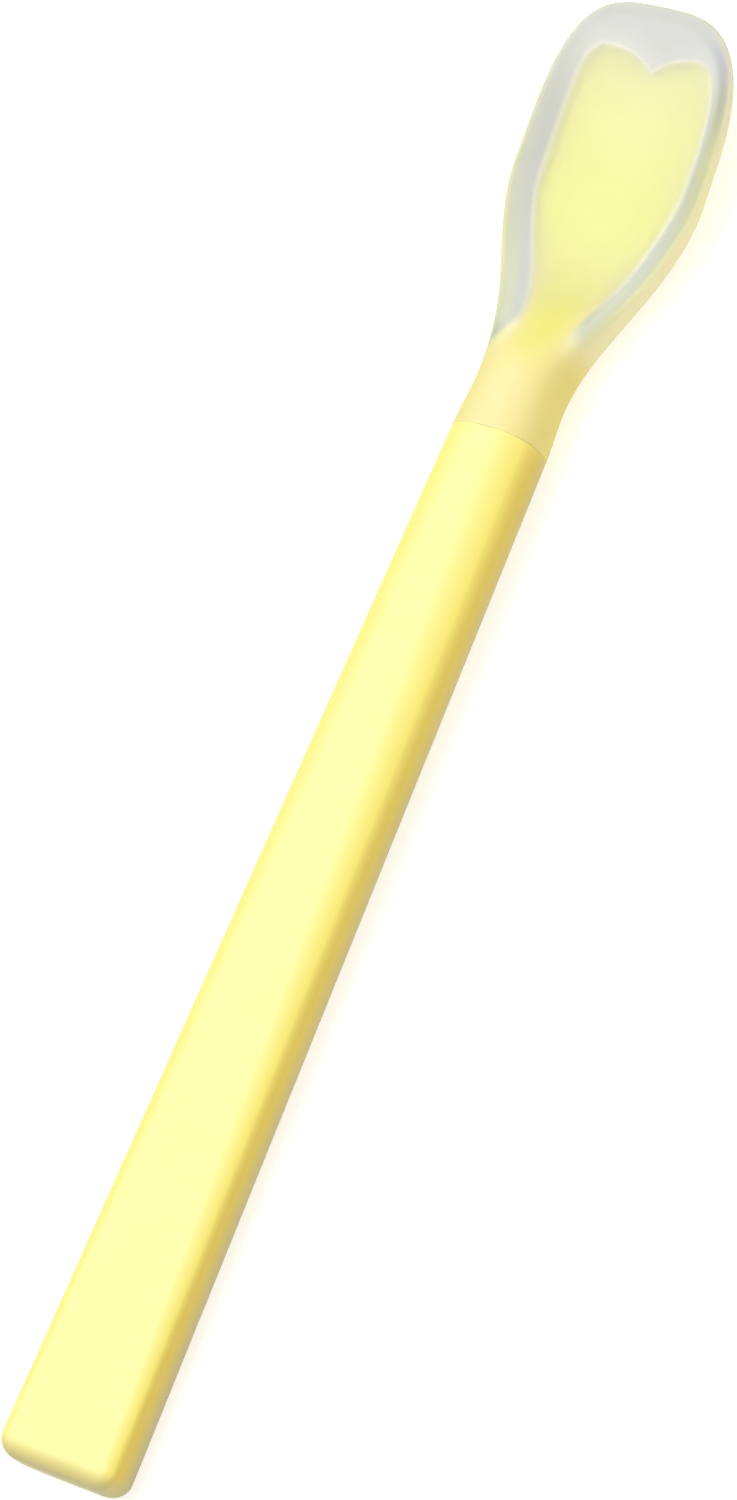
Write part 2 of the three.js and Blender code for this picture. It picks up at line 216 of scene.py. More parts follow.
def mesh_piece(name, points, faces, node, slot, material):
    """A smooth-shaded piece from points in millimetres from the butt, riding on the spoon.

    For its finish the mesh holds "side", which is 0 where the skin lies level and 1 where it stands
    upright, "butt_way" and "tip_way", which are 1 where it faces the butt or the tip, and where the
    points have more columns, the shares that silicone_tones gives.
    """
    mesh = bpy.data.meshes.new(name)
    places = (points[:, :3] - np.array([LENGTH / 2, 0.0, 0.0])) * MM
    mesh.from_pydata(places.tolist(), [], faces.tolist())
    mesh.shade_smooth()
    mesh.materials.append(material)
    normals = np.empty(len(points) * 3, np.float32)
    mesh.vertices.foreach_get("normal", normals)
    ahead, aside = normals[0::3], normals[1::3]
    values = {
        "side": np.hypot(ahead, aside),
        "butt_way": np.maximum(-ahead, 0),
        "tip_way": np.maximum(ahead, 0),
    }
    values.update(zip(SILICONE_TONES, points.T[3:]))
    for value_name, value in values.items():
        attribute = mesh.attributes.new(value_name, "FLOAT", "POINT")
        attribute.data.foreach_set("value", value.astype(np.float32))
    piece = bpy.data.objects.new(name, mesh)
    bpy.context.scene.collection.objects.link(piece)
    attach(piece, "root")
    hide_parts(node)


def closed_skin(ribs):
    """Points and faces of a closed skin over half sections carried along the spoon.

    ribs[i, j] is point j of the left half of section i, from the middle of the underside out to
    the edge and back to the middle of the top. The right half is its mirror image, so each
    section becomes a ring, and neighbouring rings are joined by faces. The first and last ring
    are closed by strips between the two halves. Points that coincide are welded, and faces that
    collapse by it are dropped, which closes the poles and the seam at the tip.
    """
    rows, columns, values = ribs.shape
    mirror = np.ones(values)
    mirror[1] = -1
    points = np.concatenate([ribs, ribs * mirror]).reshape(-1, values)
    left = np.arange(rows * columns).reshape(rows, columns)
    right = left + rows * columns

    def quads(a, b, c, d):
        return np.stack([a, b, c, d], -1).reshape(-1, 4)

    faces = np.concatenate([
        quads(left[:-1, :-1], left[:-1, 1:], left[1:, 1:], left[1:, :-1]),
        quads(right[:-1, :-1], right[1:, :-1], right[1:, 1:], right[:-1, 1:]),
        quads(left[0, :-1], right[0, :-1], right[0, 1:], left[0, 1:]),
        quads(left[-1, :-1], left[-1, 1:], right[-1, 1:], right[-1, :-1]),
    ])
    return welded(points, faces)


def welded(points, faces):
    """Merges points that agree to a ten-thousandth of a millimetre, splits the faces into triangles,
    and drops those that collapse or lie on one another."""
    keys = np.round(points[:, :3] * WELDS_PER_MM).astype(np.int64)
    _, first, number = np.unique(keys, axis=0, return_index=True, return_inverse=True)
    faces = number.reshape(-1)[faces]
    triangles = np.concatenate([faces[:, [0, 1, 2]], faces[:, [0, 2, 3]]])
    a, b, c = triangles.T
    triangles = triangles[(a != b) & (b != c) & (c != a)]
    _, where, count = np.unique(np.sort(triangles, 1), axis=0, return_index=True, return_counts=True)
    return points[first], triangles[where[count == 1]]


# Handle

def drawn_in(s, radius):
    """How far a round of this radius has drawn a surface in, at a distance s from its end."""
    return radius - np.sqrt(radius ** 2 - np.maximum(0.0, radius - s) ** 2)


def handle_sections(s):
    """Half sections of the bar: rounded rectangles whose width, thickness and corner radius change
    evenly along the bar, drawn in by arcs at the butt and by a hair at the seam."""
    t = s / HANDLE_LENGTH
    seam_round = drawn_in(SEAM - s, SEAM_EDGE_RADIUS)
    end_round = drawn_in(s, BUTT_END_RADIUS) + seam_round
    middle = mix(BUTT_THICKNESS, NECK_THICKNESS, t) / 2
    a = mix(BUTT_WIDTH, NECK_WIDTH, t) / 2 - drawn_in(s, BUTT_CORNER_RADIUS) - seam_round
    b = middle - end_round
    r = mix(BUTT_EDGE_RADIUS, NECK_EDGE_RADIUS, t) - EDGE_SHRINK * end_round
    r = np.minimum(r, EDGE_LIMIT * np.minimum(a, b))
    turn = np.linspace(0, np.pi / 2, EDGE_POINTS)
    a, b, r, middle = (value[:, None] for value in (a, b, r, middle))
    flat = np.linspace(0, 1, FLAT_POINTS)[:-1] * (a - r)
    side = np.linspace(0, 1, SIDE_POINTS)[1:-1] * (2 * b - 2 * r)
    y = np.concatenate([
        flat,
        a - r + r * np.sin(turn),
        a + 0 * side,
        a - r + r * np.cos(turn),
        flat[:, ::-1],
    ], 1)
    z = np.concatenate([
        middle - b + 0 * flat,
        middle - b + r - r * np.cos(turn),
        middle - b + r + side,
        middle + b - r + r * np.sin(turn),
        middle + b + 0 * flat,
    ], 1)
    return np.stack([np.broadcast_to(s[:, None], y.shape), y, z], -1)


def tang_sections(start, end, grow):
    """Half sections of the tang, or of its socket when grown: squarish ellipses that taper to the
    far end and step in at each grip notch."""
    ends = SEAM - NOTCH_FIRST - NOTCH_PITCH * np.arange(NOTCH_COUNT)[::-1]
    steps = np.array([grow - NOTCH_LENGTH, grow - NOTCH_LENGTH + NOTCH_RAMP, -grow - NOTCH_RAMP, -grow])
    s = np.concatenate([[start], (ends[:, None] + steps).ravel(), [end]])
    depth = np.concatenate([[0], np.tile([0, NOTCH_DEPTH, NOTCH_DEPTH, 0], NOTCH_COUNT), [0]])
    t = np.clip((s - SEAM + TANG_LENGTH) / TANG_LENGTH, 0, 1)
    a = mix(TANG_END_WIDTH, TANG_WIDTH, t) / 2 + grow - depth
    b = mix(TANG_END_HEIGHT, TANG_HEIGHT, t) / 2 + grow
    middle = mix(BUTT_THICKNESS, NECK_THICKNESS, np.minimum(s, SEAM) / HANDLE_LENGTH) / 2
    turn = np.linspace(-np.pi / 2, np.pi / 2, 2 * CORE_POINTS)
    share = np.cos(turn) ** (2 / TANG_SQUARENESS)
    rise = np.sign(turn) * np.abs(np.sin(turn)) ** (2 / TANG_SQUARENESS)
    y = a[:, None] * share
    y[:, [0, -1]] = 0
    z = middle[:, None] + b[:, None] * rise
    return np.stack([np.broadcast_to(s[:, None], y.shape), y, z], -1)


def respaced(ribs, count):
    """The same sections with another number of points, each between two neighbouring old ones."""
    place = np.linspace(0, ribs.shape[1] - 1, count)
    before = np.minimum(place.astype(int), ribs.shape[1] - 2)
    return mix(ribs[:, before], ribs[:, before + 1], (place - before)[:, None])


def handle_skin():
    """The bar's skin, with its socket let in from the seam. The butt is closed by a fan to its middle.
    The bar's last ring and the socket's last ring, which gets as many points, are joined across the
    flat neck face, and the socket's skin faces its hollow."""
    turn = np.linspace(0, np.pi / 2, BUTT_RIBS)
    seam_turn = np.linspace(0, np.pi / 2, SEAM_RIBS)
    s = np.concatenate([
        BUTT_CORNER_RADIUS * (1 - np.cos(turn)),
        np.linspace(BUTT_CORNER_RADIUS, SEAM - SEAM_EDGE_RADIUS, BAR_RIBS)[1:-1],
        SEAM - SEAM_EDGE_RADIUS * (1 - np.sin(seam_turn)),
    ])
    bar = handle_sections(s)
    butt_middle = np.broadcast_to([0.0, 0.0, BUTT_THICKNESS / 2], bar[:1].shape)
    socket = tang_sections(SEAM - TANG_LENGTH - CORE_GAP, SEAM, CORE_GAP)[::-1]
    return closed_skin(np.concatenate([butt_middle, bar, respaced(socket, bar.shape[1])]))


# Silicone

def bowl_half_width(s):
    """Half the silicone's width: an S from the seam in to the waist, and one out to the widest place."""
    sleeve = mix(NECK_WIDTH, WAIST_WIDTH, ramp(s, SEAM, SEAM + WAIST_AT)) / 2
    return sleeve + (BOWL_WIDTH - WAIST_WIDTH) / 2 * ramp(s, SEAM + WAIST_AT, BOWL_WIDEST)


def rib_through(s, y):
    """The rib of the bowl through each plan place: where it starts on the spine, how long it is,
    how far out the place lies along it, and how much it points forward. Ribs cross the spoon up
    to the widest place, then fan out round the tip, whose outline is a squarish ellipse."""
    ahead = np.maximum(s - BOWL_WIDEST, 0.0)
    y = np.abs(y)
    out = np.hypot(ahead, y)
    n = TIP_SQUARENESS
    share = ((ahead / TIP_REACH) ** n + (y / (BOWL_WIDTH / 2)) ** n) ** (1 / n)
    fan = ahead > 0
    safe = np.where(fan, out, 1.0)
    return (
        np.where(fan, BOWL_WIDEST, s),
        np.where(fan, out / np.where(fan, share, 1.0), bowl_half_width(s)),
        np.where(fan, out, y),
        np.where(fan, ahead / safe, 0.0),
    )


def line_of(spine, reach, forward):
    """What shapes a rib's section: the height of the widest line, which climbs to the tip; the
    keel; where the dish ends; the roll; and the powers of the dish and of the outer wall, which is
    fuller along the flare by a parabola that peaks at 1 halfway along it."""
    s = spine + forward * reach
    to_tip = np.clip((s - BOWL_WIDEST) / TIP_REACH, 0, 1)
    rim = RIM_HEIGHT + RIM_CLIMB * (s - BOWL_WIDEST) + TIP_RISE * to_tip ** 2
    dish = ramp(spine, SEAM + DISH_FROM, SEAM + DISH_TO)
    back = 1 - ramp(s, SEAM + BACK_FROM, SEAM + BACK_TO)
    flare = FLARE_FULLNESS * 4 * back * (1 - back)
    to_front = ramp(s, SEAM + DISH_FROM, LENGTH)
    return {
        "dish": dish,
        "height": mix(NECK_MIDDLE, rim, dish),
        "keel": KEEL_LIFT * ramp(spine, SEAM, SEAM + WAIST_AT),
        "inner": reach - mix(RIM_WIDTH, RIM_WIDTH_BACK, back),
        "roll": mix(ROLL_HEIGHT, ROLL_HEIGHT_BACK, back),
        "roundness": mix(SLEEVE_ROUNDNESS, WALL_ROUNDNESS, to_front) + flare,
        "power": mix(SIDE_POWER, FRONT_POWER, forward ** 2),
    }


def dish_height(line, out):
    """The dish rises from its floor to the rim by a power of the share of the way out."""
    return DISH_FLOOR + (line["height"] - DISH_FLOOR) * (out / line["inner"]) ** line["power"]


def top_height(reach, line, out):
    """The neck's round top, turning by the share "dish" into the dish and its rolled rim. The dish
    climbs on past its edge until it meets the roll, which falls to the widest line by a quarter of
    an ellipse, and the two are blended by a smooth minimum."""
    crest_at = mix(line["inner"], reach, CREST_SHARE)
    fall = np.clip((out - crest_at) / (reach - crest_at), 0, 1)
    roll = line["height"] + line["roll"] * np.sqrt(1 - fall ** 2)
    climb = dish_height(line, out)
    near = np.maximum(CREST_BLEND - np.abs(climb - roll), 0)
    hollow = np.minimum(climb, roll) - near ** 2 / (4 * CREST_BLEND)
    neck = line["height"] + (NECK_THICKNESS - line["height"]) * bulge(out / reach, SLEEVE_ROUNDNESS)
    return mix(neck, hollow, line["dish"])


def bowl_skin():
    """Silicone sleeve, bowl and lip in one skin: half sections along the ribs, each an outer wall
    that is a quarter of a rounded section, the rolled rim, and the dish down to the spine."""
    start = SEAM + SEAM_GAP
    edge = start + SEAM_EDGE_RADIUS * (1 - np.cos(np.linspace(0, np.pi / 2, SEAM_RIBS)))
    straight = np.concatenate([edge, np.linspace(edge[-1], BOWL_WIDEST, BOWL_RIBS)[1:]])
    angle = np.linspace(np.pi / 2, 0, TIP_RIBS)[1:]
    s = np.concatenate([straight, BOWL_WIDEST + np.cos(angle)])
    aside = np.concatenate([0 * straight, np.sin(angle)])
    spine, reach, _, forward = (value[:, None] for value in rib_through(s, aside))
    sideways = np.where(forward > 0, aside[:, None], 1.0)
    line = line_of(spine, reach, forward)

    turn = np.linspace(0, np.pi / 2, WALL_POINTS)
    wall_out = reach * np.sin(turn) ** (2 / line["roundness"])
    wall_z = line["height"] - (line["height"] - line["keel"]) * bulge(wall_out / reach, line["roundness"])
    over = (1 - np.cos(np.linspace(0, np.pi, RIM_POINTS)[1:-1])) / 2
    down = np.cos(np.linspace(0, np.pi / 2, DISH_POINTS))
    down[-1] = 0.0
    top_out = np.concatenate([mix(reach, line["inner"], over), line["inner"] * down], 1)
    out = np.concatenate([wall_out, top_out], 1)
    z = np.concatenate([wall_z, top_height(reach, line, top_out)], 1)

    # A hair of rounding on the sleeve's end, where it meets the handle.
    pull = np.zeros((len(s), 1))
    pull[:len(edge), 0] = drawn_in(edge - start, SEAM_EDGE_RADIUS)
    out = out * (1 - pull / (NECK_WIDTH / 2))
    z = NECK_MIDDLE + (z - NECK_MIDDLE) * (1 - pull / NECK_MIDDLE)
    x, y = spine + forward * out, sideways * out
    inward = np.maximum((reach - out) / (reach - line["inner"]), 0)
    inward[:, :WALL_POINTS] = 0.0
    points, faces = closed_skin(np.stack([x, y, z, inward], -1))
    tones = silicone_tones(*points[:, [0, 1, 3]].T)
    return np.column_stack([points[:, :3], *tones]), faces


def silicone_tones(s, y, inward):
    """The seven shares of SILICONE_TONES, which change over from the outer wall to the dish across
    the rim. Those that follow the core's outline follow its picture, which leans to the right.

    "milk" is how solid the silicone is behind the skin: it sets in along the sleeve and grows past
    the core's edge, gently on the outer wall, and a little over the core's lobes. "warm" is how much
    of the core's colour it takes up: all of it on the sleeve, which ends in a slant at the rim and in
    a tongue down the back of the dish, less on the outer wall towards the tip, none in the dish and
    lip. "deep" is painted shade that deepens the yellow: it grows on the sleeve's top and fades down
    the slope at the back of the dish. "rolled" is 1 on top of the rolled rim, where a darker band is
    painted as shade: it grows out of the neck, later on the right, rises at the rim's edge and thins
    out at the lip. "rear" falls from 1 at the neck to 0 at the front. "yellow" and "dim" are bands
    on the right-hand rim, along the side and towards the tip: painted light that gives it the core's
    yellow, and painted shade.
    """
    along = s - SEAM
    lean = mix(LEAN_REAR, LEAN_FRONT, ramp(along, LEAN_FROM, LEAN_TO))
    past = past_core(s, y + lean)
    at_rim = ramp(past, MILK_FROM, MILK_FULL)
    inside = ramp(inward, 0, WALL_TURN)
    right = y < 0

    set_in = ramp(along, MILK_SETS_IN, MILK_SET)
    wall_milk = ramp(past_core(s, y), WALL_FROM, WALL_FULL)
    over_lobes = LOBE_HAZE * ramp(s, BOWL_WIDEST - TIP_REACH, LOBE_TOP)
    haze = over_lobes + HAZE * ramp(past, HAZE_FROM, MILK_FULL)

    wall_warmth = mix(1, TIP_WARMTH, ramp(s, BOWL_WIDEST, LENGTH))
    sleeve = 1 - ramp(along + SLEEVE_SLANT * np.maximum(past, 0), SLEEVE_FADE, SLEEVE_END)
    tongue = 1 - ramp(along, TONGUE_FADE, TONGUE_END)

    out_of_neck = ramp(along + ROLL_SLANT * lean * np.sign(y), ROLL_FROM, ROLL_FULL)
    along_rim = out_of_neck * mix(1, TIP_ROLL, ramp(s, BOWL_WIDEST, LOBE_TOP))
    roll_end = mix(ROLL_RISE, ROLL_WIDTH, out_of_neck)
    across_rim = hump(inward, 0, ROLL_RISE, roll_end, roll_end + ROLL_FADE)

    # Painted light and shade on the right-hand rim: a yellow band, and a darker band of painted shade.
    core_light_band = hump(inward, NEAR_RISE, NEAR_FULL, NEAR_FADE, YELLOW_WIDTH)
    near_rim_shade_band = hump(inward, NEAR_RISE, NEAR_FULL, NEAR_FADE, NEAR_SHADE_WIDTH)
    return (
        set_in * mix(wall_milk, mix(haze, 1, at_rim), inside),
        mix(wall_warmth, mix(tongue, sleeve, at_rim), inside),
        # Painted shade: deep yellow on the slope behind the dish.
        inside * (1 - ramp(past, DEEP_EDGE, 0)) * hump(along, DEEP_FROM, DEEP_FULL, DEEP_FADE, DEEP_END),
        # Painted shade: a darker band along the top of the rolled rim.
        along_rim * across_rim,
        1 - ramp(along, REAR_FROM, REAR_TO),
        right * core_light_band * hump(along, *YELLOW_PLACES),
        right * near_rim_shade_band * hump(along, *NEAR_SHADE_PLACES),
    )


# Core

def core_half_width(s):
    """Half the core's width: an S along the stem in to its waist, and one out to the paddle's width."""
    stem = mix(NECK_WIDTH - 2 * SLEEVE_WALL, CORE_WAIST_WIDTH, ramp(s, SEAM, SEAM + CORE_WAIST_AT))
    flare = (CORE_WIDTH - CORE_WAIST_WIDTH) * ramp(s, SEAM + CORE_FLARE_FROM, SEAM + CORE_WIDEST_AT)
    return (stem + flare) / 2


def bezier(points, count):
    """Cubic curve through its first and last points, pulled towards the middle two."""
    a, b, c, d = np.array(points, float)[:, None]
    t = np.linspace(0, 1, count)[:, None]
    return (1 - t) ** 3 * a + 3 * (1 - t) ** 2 * t * b + 3 * (1 - t) * t ** 2 * c + t ** 3 * d


def lobe_outline():
    """Left half of the paddle's front: round the lobe, then down to the notch on the middle line."""
    half = core_half_width(np.array(CORE_POLE))
    crest = LOBE_SPREAD / 2
    lobe = bezier([
        (CORE_POLE, half),
        (mix(CORE_POLE, LOBE_TOP, LOBE_SIDE_PULL), half),
        (LOBE_TOP, mix(crest, half, LOBE_TOP_PULL)),
        (LOBE_TOP, crest),
    ], LOBE_RIBS)
    notch = bezier([
        (LOBE_TOP, crest),
        (LOBE_TOP, NOTCH_TOP_PULL * crest),
        (LOBE_TOP - NOTCH_DEPTH_PULL * LOBE_NOTCH, NOTCH_SIDE_PULL * crest),
        (LOBE_TOP - LOBE_NOTCH, 0),
    ], NOTCH_RIBS)
    return np.concatenate([lobe[1:], notch[1:]])


def past_core(s, y):
    """How far a plan place lies outside the core's outline, less than 0 inside it. Past the paddle's
    pole this is measured along the ray from the pole, whose length follows the lobed outline."""
    y = np.abs(y)
    front = lobe_outline() - [CORE_POLE, 0]
    angle = np.arctan2(front[:, 0], front[:, 1])
    radius = np.interp(np.arctan2(s - CORE_POLE, y), angle, np.hypot(front[:, 0], front[:, 1]))
    return np.where(s > CORE_POLE, np.hypot(s - CORE_POLE, y) - radius, y - core_half_width(s))


def core_skin():
    """Tang, stem and paddle in one skin. The stem is a rounded section; by the share "dish" it
    turns into a paddle of even thickness, thinner at its very edge, that follows the dish a skin's
    depth below it."""
    stations = np.linspace(SHOULDER, CORE_POLE, CORE_RIBS)
    front = lobe_outline()
    s = np.concatenate([stations, np.full(len(front), CORE_POLE)])[:, None]
    dx = np.concatenate([0 * stations, front[:, 0] - CORE_POLE])[:, None]
    dy = np.concatenate([core_half_width(stations), front[:, 1]])[:, None]
    dy[-1] = 0.0
    u = np.sin(np.linspace(0, np.pi / 2, CORE_POINTS))
    u = np.concatenate([u, u[::-1]])
    way = np.repeat([-1.0, 1.0], CORE_POINTS)

    x, y = s + u * dx, u * dy
    spine, reach, out, forward = rib_through(x, y)
    line = line_of(spine, reach, forward)
    stem = NECK_MIDDLE + way * (NECK_MIDDLE - SLEEVE_WALL) * bulge(u, STEM_ROUNDNESS)
    middle = dish_height(line, np.minimum(out, line["inner"])) - UPPER_SKIN - CORE_THICKNESS / 2
    paddle = middle + way * CORE_THICKNESS / 2 * (1 - EDGE_SOFTNESS * u ** EDGE_POWER)
    paddle_ribs = np.stack([x, y, mix(stem, paddle, line["dish"])], -1)
    tang_ribs = tang_sections(SEAM - TANG_LENGTH, SHOULDER, 0.0)
    return closed_skin(np.concatenate([tang_ribs, paddle_ribs]))


# Finishes

def node_adder(tree):
    """A helper that adds a node to this tree, sets its values, and links sources to its sockets."""
    def add(kind, links=(), **values):
        node = tree.nodes.new(kind)
        for key, value in values.items():
            if hasattr(node, key):
                setattr(node, key, value)
            else:
                node.inputs[key].default_value = value
        for source, target in links:
            tree.links.new(source, node.inputs[target])
        return node

    return add


def new_finish(name):
    """A material with its node tree, its Principled shader and a helper that adds nodes."""
    finish = bpy.data.materials.new(name)
    finish.use_nodes = True
    tree = finish.node_tree
    return finish, tree, tree.nodes["Principled BSDF"], node_adder(tree)


def skin_value(add, name):
    """A value that mesh_piece laid on the skin."""
    return add("ShaderNodeAttribute", attribute_name=name).outputs["Fac"]


def noise(add, coords, scale):
    """A soft cloud of numbers round a half, at this many cells to the metre."""
    return add("ShaderNodeTexNoise", [(coords.outputs["Object"], "Vector")], Scale=scale).outputs["Fac"]


def between(add, share, low, high, start=0.0, end=1.0):
    """A number that goes from low to high as the share goes from its start to its end."""
    limits = {"From Min": start, "From Max": end, "To Min": low, "To Max": high}
    return add("ShaderNodeMapRange", [(share, "Value")], **limits).outputs["Result"]


def blended(add, share, first, second, way="MIX"):
    """A colour that goes from the first to the second as the share goes from 0 to 1, or with the way
    MULTIPLY from the first to the first tinted by the second. The node's colour sockets share their
    names with its other sockets, so they are taken by number."""
    node = add("ShaderNodeMix", [(share, "Factor")], data_type="RGBA", blend_type=way)
    for socket, colour in ((node.inputs[6], first), (node.inputs[7], second)):
        if isinstance(colour, tuple):
            socket.default_value = (*colour, 1)
        else:
            node.id_data.links.new(colour, socket)
    return node.outputs[2]


def moulded_surface(tree, add, shader, tone, cloud, grain, drift, rough, grain_depth):
    """Puts a tone on the shader with a faint drift of tone and gloss, and a fine moulded grain as bump."""
    tone_drift = between(add, cloud, *drift)
    drifting = add("ShaderNodeVectorMath", [(tone, 0), (tone_drift, 1)], operation="MULTIPLY")
    bump = add("ShaderNodeBump", [(grain, "Height")], Strength=1.0, Distance=grain_depth * MM)
    tree.links.new(drifting.outputs[0], shader.inputs["Base Color"])
    tree.links.new(between(add, cloud, *rough), shader.inputs["Roughness"])
    tree.links.new(bump.outputs["Normal"], shader.inputs["Normal"])


def painted_foot_shadow(add, coords, side):
    """How near the handle's skin is to the foot of its sides, which takes a painted contact shadow: 1 down
    on the floor, 0 above a height that grows evenly from the butt to the neck, and 0 where the skin lies
    level."""
    place = add("ShaderNodeSeparateXYZ", [(coords.outputs["Object"], 0)])
    butt, neck = -LENGTH / 2 * MM, (SEAM - LENGTH / 2) * MM
    top = between(add, place.outputs["X"], FOOT_SHADOW_AT_BUTT * MM, FOOT_SHADOW_AT_NECK * MM, butt, neck)
    low = add(
        "ShaderNodeMapRange", [(place.outputs["Z"], "Value"), (top, "From Max")],
        interpolation_type="SMOOTHSTEP", **{"To Min": 1.0, "To Max": 0.0},
    )
    foot = add("ShaderNodeMath", [(low.outputs["Result"], 0), (side, 1)], operation="MULTIPLY")
    return foot.outputs[0]


def plastic_finish(name, tones, butt_facing_painted_tone, tip_tone, foot_shadow_tone, rough, cloud_scale, grain_scale, grain_depth):
    """Satin pastel plastic with painted light and shade: its tones go from the level skin to a painted
    shade on the upright one, with others for skin that faces the butt or the tip and, where there is one,
    a painted contact shadow for the foot of the sides."""
    finish, tree, shader, add = new_finish(name)
    coords = add("ShaderNodeTexCoord")
    cloud = noise(add, coords, cloud_scale)
    side = skin_value(add, "side")
    painted_shade_by_side = add("ShaderNodeValToRGB", [(side, "Fac")])
    stops = painted_shade_by_side.color_ramp.elements
    while len(stops) < len(tones):
        stops.new(0.5)
    for stop, (at, colour) in zip(stops, tones):
        stop.position = at
        stop.color = (*colour, 1)
    tone = painted_shade_by_side.outputs["Color"]
    # Painted contact shadow: greyer towards the floor at the foot of the sides.
    if foot_shadow_tone:
        tone = blended(add, painted_foot_shadow(add, coords, side), tone, foot_shadow_tone)
    # Painted shade on the handle's butt; painted light on the core dish's front slope, shade on its back.
    tone = blended(add, skin_value(add, "butt_way"), tone, butt_facing_painted_tone)
    tone = blended(add, skin_value(add, "tip_way"), tone, tip_tone)
    grain = noise(add, coords, grain_scale)
    moulded_surface(
        tree, add, shader, tone, cloud, grain, drift=(0.965, 1.035), rough=rough, grain_depth=grain_depth,
    )
    shader.inputs["IOR"].default_value = 1.49
    shader.inputs["Specular IOR Level"].default_value = 0.3
    return finish


def handle_finish():
    """The handle's plastic: pale on its flat, with painted shade in deeper yellow round its edges and
    in ochre on its sides, a painted contact shadow in grey at their foot, painted shade in grey on
    the butt, and pale again on the rounding at the seam."""
    return plastic_finish(
        "satin_handle",
        # Painted shade: the tones deepen from the pale flat to the upright sides.
        tones=[(0.0, (0.965, 0.945, 0.40)), (0.76, (1.0, 0.87, 0.20)), (1.0, (0.76, 0.58, 0.09))],
        butt_facing_painted_tone=(0.68, 0.60, 0.29),
        tip_tone=(1.0, 0.95, 0.50),
        foot_shadow_tone=(0.53, 0.50, 0.36),
        rough=(0.46, 0.56),
        cloud_scale=140.0,
        grain_scale=5200.0,
        grain_depth=0.006,
    )


def core_finish():
    """The core's plastic: a greener yellow, a little deeper as painted shade where upright, paler on the
    front slope of its dish as painted light, and full on the back one as painted shade.
    """
    return plastic_finish(
        "satin_core",
        # Painted shade deepens the upright skin; the butt tone is painted light, the tip tone painted shade.
        tones=[(0.0, (0.93, 0.945, 0.335)), (1.0, (0.93, 0.93, 0.25))],
        butt_facing_painted_tone=(1.0, 1.0, 0.7),
        tip_tone=(1.0, 0.95, 0.02),
        foot_shadow_tone=None,
        rough=(0.5, 0.6),
        cloud_scale=160.0,
        grain_scale=4200.0,
        grain_depth=0.004,
    )


def silicone_tone(add, values):
    """The silicone's colour, with painted light and shade. Where it isn't warm it is a clear tint over the
    core, yellower as painted shade on the slope behind the dish, and grey where it is solid, with its own
    greys for steep skin and for the lip. Where it is warm it is peach on the sleeve, darker as painted
    shade on its steep sides, yellow in the tongue down the slope, painted shade that is deeper towards
    its root, and cream on the solid wall. The rolled rim lies over both, with a darker band painted as
    shade, and painted light and shade yellow and darken the right-hand rim."""
    milk, warm, deep, rolled, rear, yellow, dim, steep, to_butt = values
    rim_grey, lip_grey = (0.74, 0.755, 0.785), (0.98, 0.98, 1.0)
    wall_front, wall_rear = (0.67, 0.705, 0.665), (0.86, 0.94, 0.80)
    # The clear tint's slope tone is painted shade, yellower on the slope behind the dish.
    clear_dish, clear_slope_shade = (1.0, 1.0, 0.92), (1.0, 1.0, 0.82)
    # Painted shade: the peach darkens on the sleeve's steep sides.
    peach_top, peach_shaded_side, cream = (0.94, 0.86, 0.43), (0.86, 0.75, 0.26), (0.96, 0.91, 0.58)
    # Painted shade: the tongue down the slope is deep yellow, deeper towards its root.
    tongue_tip, tongue_root_shade = (1.0, 1.0, 0.25), (0.87, 0.835, 0.23)
    # Painted shade: the rolled rim's darker tones.
    rim_shade_front, rim_shade_rear, rim_shade_warm = (0.73, 0.755, 0.70), (0.82, 0.87, 0.69), (0.80, 0.80, 0.45)
    core_light_tint, near_rim_shade_tint = (1.0, 1.0, 0.70), (0.72, 0.74, 0.84)

    grey = blended(add, steep, rim_grey, blended(add, rear, wall_front, wall_rear))
    grey = blended(add, between(add, to_butt, 0, 1, start=0.25), grey, lip_grey)
    clear = blended(add, deep, clear_dish, clear_slope_shade)
    inner = blended(add, between(add, milk, 0, 1, start=0.7), clear, grey)
    peach = blended(add, steep, peach_top, peach_shaded_side)
    tongue = blended(add, between(add, warm, 0, 1, start=0.5), tongue_tip, tongue_root_shade)
    outer = blended(add, milk, blended(add, deep, peach, tongue), cream)
    roll = blended(add, warm, blended(add, rear, rim_shade_front, rim_shade_rear), rim_shade_warm)
    tone = blended(add, rolled, blended(add, warm, inner, outer), roll)
    # Painted light yellows the right-hand rim, and painted shade darkens it.
    tone = blended(add, yellow, tone, core_light_tint, "MULTIPLY")
    return blended(add, dim, tone, near_rim_shade_tint, "MULTIPLY")


def silicone_finish():
    """Milky silicone: clear enough over the core to show it, greyer and cloudier where it is solid,
    and tinted by the core, and not clear, on the sleeve and the outer wall."""
    finish, tree, shader, add = new_finish("milky_silicone")
    coords = add("ShaderNodeTexCoord")
    cloud_scale, grain_scale = 220.0, 3000.0
    clear_share, solid_share = 0.88, 0.2
    cloud, grain = noise(add, coords, cloud_scale), noise(add, coords, grain_scale)
    values = [skin_value(add, name) for name in (*SILICONE_TONES, "side", "butt_way")]
    milk, warm = values[:2]
    moulded_surface(
        tree, add, shader, silicone_tone(add, values), cloud, grain,
        drift=(0.98, 1.005), rough=(0.42, 0.50), grain_depth=0.004,
    )
    by_milk = between(add, milk, clear_share, solid_share)
    clear = add("ShaderNodeMix", [(warm, "Factor"), (by_milk, "A")], data_type="FLOAT", B=0.0)
    tree.links.new(clear.outputs[0], shader.inputs["Transmission Weight"])
    shader.inputs["IOR"].default_value = 1.1
    return finish


# Camera and stage

